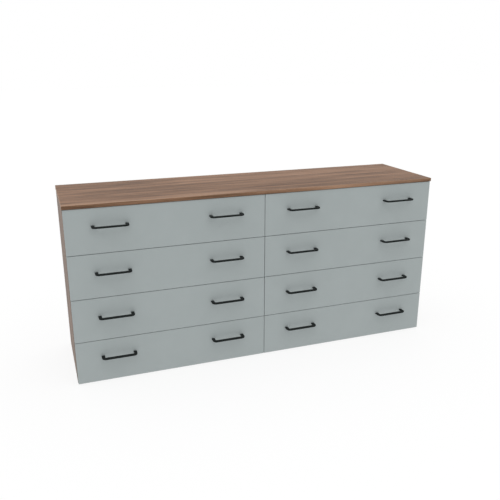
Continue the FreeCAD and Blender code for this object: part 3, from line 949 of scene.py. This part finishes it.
@dataclass
class Hardware:
    """The handles and fasteners, whose patterns are copied to where they go."""

    patterns: dict[Pattern, bpy.types.Object] = field(default_factory=dict)

    def model(self) -> None:
        """Models each pattern."""
        for pattern in Pattern:
            self.patterns[pattern] = pattern.value.build()

    def clear(self) -> None:
        """Takes the patterns away, once they have been copied."""
        for piece in self.patterns.values():
            bpy.data.objects.remove(piece)

    def fit(self, kind: Pattern, name: str, seats: Iterable[tuple[Vector, Vector]]) -> bpy.types.Object:
        """Copies of one pattern, joined to one piece.

        Args:
            kind: the pattern.
            name: name of the piece.
            seats: where each copy goes and which way it faces.

        Returns:
            The piece.
        """
        copies = [copied(self.patterns[kind], name, place, facing) for place, facing in seats]
        return joined(copies, name)


@dataclass
class Drawer:
    """One drawer: its front, box and rails from the frame, with its handles and fasteners modelled."""

    column: Column
    row: int
    wall: float = 16.0 * MM  # of the box
    rail_steel: float = 1.2 * MM
    slot_shares: tuple[float, ...] = (0.08, 0.5, 0.92)  # of a rail's length, from its front
    cap_setback: float = 24.0 * MM  # box's front end to the caps over its cams

    @property
    def body(self) -> str:
        """Name of the drawer's body."""
        return f"{self.column.value}_drawer_{self.row}"

    def node(self, kind: str) -> str:
        """Name of one of the drawer's nodes."""
        return f"{self.body}_{kind}"

    def dress(self) -> None:
        """Gives the drawer's boards and rails their finishes."""
        for kind, finish in (
            ("front", GREY_LACQUER),
            ("box_walls", PALE_MELAMINE),
            ("box_bottom", FACED_FIBREBOARD),
            ("drawer_rails", BRIGHT_ZINC),
            ("middle_rails", BRIGHT_ZINC),
        ):
            finish.dress(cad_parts[self.node(kind)])
            log.info("%s: %s", self.node(kind), finish.name)

    def fit_handles(self, hardware: Hardware) -> None:
        """Sets handles and their screws where the frame has them.

        Args:
            hardware: the patterns to copy.
        """
        node = self.node("handles")
        low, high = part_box(node)
        face_low, face_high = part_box(self.node("front"))
        level = (low.z + high.z) / 2
        handle = Pattern.HANDLE.value
        outer = handle.spacing / 2 + handle.width / 2
        for side, x in (("left", low.x + outer), ("right", high.x - outer)):
            seat = Vector((x, face_low.y, level))
            bar = hardware.fit(Pattern.HANDLE, f"{self.body}_{side}_bar_handle", [(seat, BACK)])
            install(bar, BLACK_POWDER, self.body, node)
            feet = [Vector((x + s * handle.spacing / 2, face_high.y, level)) for s in (-1, 1)]
            name = f"{self.body}_{side}_handle_screws"
            screws = hardware.fit(Pattern.HANDLE_SCREW, name, [(foot, BACK) for foot in feet])
            install(screws, BRIGHT_ZINC, self.body, node)

    def fit_box(self, hardware: Hardware) -> None:
        """Adds the screws of the rails, and the caps over the cams that hold the box to the front.

        Args:
            hardware: the patterns to copy.
        """
        low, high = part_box(self.node("box_walls"))
        rail_low, rail_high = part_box(self.node("drawer_rails"))
        rail_level = (rail_low.z + rail_high.z) / 2
        depths = [rail_low.y + share * (rail_high.y - rail_low.y) for share in self.slot_shares]
        cap_y = low.y + self.cap_setback
        cap_level = (low.z + high.z) / 2
        screw_seats, cap_seats = [], []
        for outside, outward in ((low.x, -RIGHT), (high.x, RIGHT)):
            steel = outside + outward.x * self.rail_steel
            screw_seats += [(Vector((steel, y, rail_level)), outward) for y in depths]
            inside = outside - outward.x * self.wall
            cap_seats.append((Vector((inside, cap_y, cap_level)), -outward))
        screws = hardware.fit(Pattern.RAIL_SCREW, self.node("rail_screws"), screw_seats)
        install(screws, BRIGHT_ZINC, self.body)
        caps = hardware.fit(Pattern.CAM_CAP, self.node("box_caps"), cap_seats)
        install(caps, MOULDED_CAP, self.body)


@dataclass
class Carcass:
    """The fixed case: boards, glides and cabinet rails from the frame, with its fittings modelled."""

    body: str = "carcass"
    uprights: tuple[str, ...] = ("left_side_panel", "centre_partition", "right_side_panel")
    cam_shares: tuple[float, ...] = (0.30, 0.62)  # of the carcass's depth, from the front
    cam_setback: float = 24.0 * MM  # board's edge to the cam's middle
    stagger: float = 36.0 * MM  # right bottom's joints behind the left bottom's
    bolt_neck: float = 8.0 * MM  # cam's middle to the bolt's shoulder
    nail_shares: tuple[float, ...] = (0.06, 0.28, 0.5, 0.72, 0.94)  # of a back board's width

    def cam_joints(self) -> Iterator[tuple[Vector, Vector, Vector]]:
        """Every joint that is drawn tight by a cam.

        Yields:
            A point on the joint, the way out of the board and the way that the cam's face looks.
        """
        front, rear = (corner.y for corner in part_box(self.uprights[0]))
        depths = [front + share * (rear - front) for share in self.cam_shares]
        for name in self.uprights:
            low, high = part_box(name)
            opening = -RIGHT if name == self.uprights[-1] else RIGHT
            for y in depths:
                yield Vector(((low.x + high.x) / 2, y, high.z)), UP, opening
        for column, shift in ((Column.LEFT, 0.0), (Column.RIGHT, self.stagger)):
            low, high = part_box(f"{column.value}_bottom_panel")
            for x, outward in ((low.x, -RIGHT), (high.x, RIGHT)):
                for y in depths:
                    yield Vector((x, y + shift, (low.z + high.z) / 2)), outward, -UP

    def fit_cams(self, hardware: Hardware) -> None:
        """Sets a cam and its bolt at each of those joints.

        Args:
            hardware: the patterns to copy.
        """
        low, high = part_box(self.uprights[0])
        seat = (high.x - low.x) / 2 - Pattern.CAM.value.height
        cam_seats, bolt_seats = [], []
        for edge, outward, opening in self.cam_joints():
            middle = edge - outward * self.cam_setback
            cam_seats.append((middle + opening * seat, opening))
            bolt_seats.append((middle + outward * self.bolt_neck, outward))
        for kind, name, seats, finish in (
            (Pattern.CAM, "joint_cams", cam_seats, CAST_ZINC),
            (Pattern.CAM_BOLT, "joint_bolts", bolt_seats, BRIGHT_ZINC),
        ):
            install(hardware.fit(kind, name, seats), finish, self.body, "cam_fittings")

    def nail_backs(self, hardware: Hardware) -> None:
        """Nails the lower edge of each back board to the bottom board in front of it.

        Args:
            hardware: the patterns to copy.
        """
        for column in Column:
            low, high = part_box(f"{column.value}_back_panel")
            level = sum(corner.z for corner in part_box(f"{column.value}_bottom_panel")) / 2
            places = [low.x + share * (high.x - low.x) for share in self.nail_shares]
            seats = [(Vector((x, high.y, level)), BACK) for x in places]
            nails = hardware.fit(Pattern.BACK_NAIL, f"{column.value}_back_nails", seats)
            install(nails, BRIGHT_ZINC, self.body)

    def dress(self) -> None:
        """Gives every fixed node its finish."""
        finishes = {
            "top_panel": WALNUT_TOP,
            "left_side_panel": WALNUT_SIDE_IN_PAINTED_SHADE,
            "centre_partition": WALNUT_SIDE_IN_PAINTED_SHADE,
            "right_side_panel": WALNUT_SIDE_IN_PAINTED_SHADE,
            "left_bottom_panel": WALNUT_BASE,
            "right_bottom_panel": WALNUT_BASE,
            "left_back_panel": PRINTED_BACK,
            "right_back_panel": PRINTED_BACK,
            "floor_glides": MOULDED_NYLON,
            "joint_dowels": PLAIN_BEECH,
            "cabinet_slide_rails": BRIGHT_ZINC,
        }
        for node, finish in finishes.items():
            finish.dress(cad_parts[node])
            log.info("%s: %s", node, finish.name)


@dataclass
class Studio:
    """Pale floor, soft light from above and the camera of the reference view."""

    # The camera's place, measured from the middle of the chest and the lower edge of the fronts' faces.
    eye: tuple[float, float, float] = (-1.1024, -2.8134, 1.5636)
    yaw: float = math.radians(19.923)
    pitch: float = math.radians(17.691)
    view_angle: float = math.radians(45.0)
    view_end: float = 200.0
    floor_size: float = 60.0
    floor_glow: float = 0.85
    floor_white: float = 0.12
    # Sine of the height, and the light there: white at the horizon, dimmer above it and bright overhead.
    sky: tuple[tuple[float, float], ...] = (
        (0.0, 1.0),
        (0.09, 1.0),
        (0.17, 0.55),
        (0.5, 0.62),
        (0.72, 1.7),
    )

    def build(self) -> None:
        """Sets up the floor, the light and the camera."""
        self.lay_floor()
        self.light()
        self.aim()
        view = bpy.context.scene.view_settings
        view.view_transform = "Standard"
        view.look = "None"

    def lay_floor(self) -> None:
        """A pale floor that glows a little, so that it stays nearly white under the chest."""
        bpy.ops.object.select_all(action="DESELECT")
        bpy.ops.mesh.primitive_plane_add(size=self.floor_size)
        floor = bpy.context.object
        floor.name = "studio_floor"
        made = bpy.data.materials.new("studio_floor_white")
        made.use_nodes = True
        shader = made.node_tree.nodes["Principled BSDF"]
        shader.inputs["Base Color"].default_value = grey(self.floor_white)
        shader.inputs["Roughness"].default_value = 1.0
        shader.inputs["Specular IOR Level"].default_value = 0.0
        shader.inputs["Emission Color"].default_value = grey(1.0)
        shader.inputs["Emission Strength"].default_value = self.floor_glow
        floor.data.materials.append(made)

    def light(self) -> None:
        """White light from all round, which changes with the height above the horizon."""
        world = bpy.data.worlds.new("studio_light")
        bpy.context.scene.world = world
        world.use_nodes = True
        tree = world.node_tree
        way = add_node(tree, "TexCoord").outputs["Generated"]
        rise = add_node(tree, "SeparateXYZ", {"Vector": way}).outputs["Z"]
        strongest = max(light for _, light in self.sky)
        stops = [(height, grey(light / strongest)) for height, light in self.sky]
        glow = add_node(tree, "ValToRGB", {"Fac": rise}, stops).outputs["Color"]
        straight = add_node(tree, "LightPath").outputs["Is Camera Ray"]
        white = {MIX_SHARE: straight, COLOUR_A: glow, COLOUR_B: grey(1.0 / strongest)}
        shown = add_node(tree, "Mix", white, data_type="RGBA").outputs[COLOUR_OUT]
        backdrop = tree.nodes["Background"]
        tree.links.new(shown, backdrop.inputs["Color"])
        backdrop.inputs["Strength"].default_value = strongest

    def aim(self) -> None:
        """The camera, placed from the lower edge of the fronts' faces."""
        lens = bpy.data.cameras.new("view_camera")
        lens.sensor_fit = "HORIZONTAL"
        lens.angle = self.view_angle
        lens.clip_end = self.view_end
        camera = bpy.data.objects.new("view_camera", lens)
        bpy.context.scene.collection.objects.link(camera)
        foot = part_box(f"left_drawer_{ROWS[-1]}_front")[0]
        camera.location = (self.eye[0], foot.y + self.eye[1], foot.z + self.eye[2])
        camera.rotation_euler = (math.pi / 2 - self.pitch, 0.0, -self.yaw)
        bpy.context.scene.camera = camera


def main() -> None:
    """Builds the chest's looks around the frame."""
    logging.basicConfig(level=logging.INFO, format="%(message)s")
    hardware = Hardware()
    hardware.model()
    carcass = Carcass()
    carcass.dress()
    carcass.fit_cams(hardware)
    carcass.nail_backs(hardware)
    for column in Column:
        for row in ROWS:
            drawer = Drawer(column, row)
            drawer.dress()
            drawer.fit_handles(hardware)
            drawer.fit_box(hardware)
    hardware.clear()
    Studio().build()


if __name__ == "__main__":
    main()
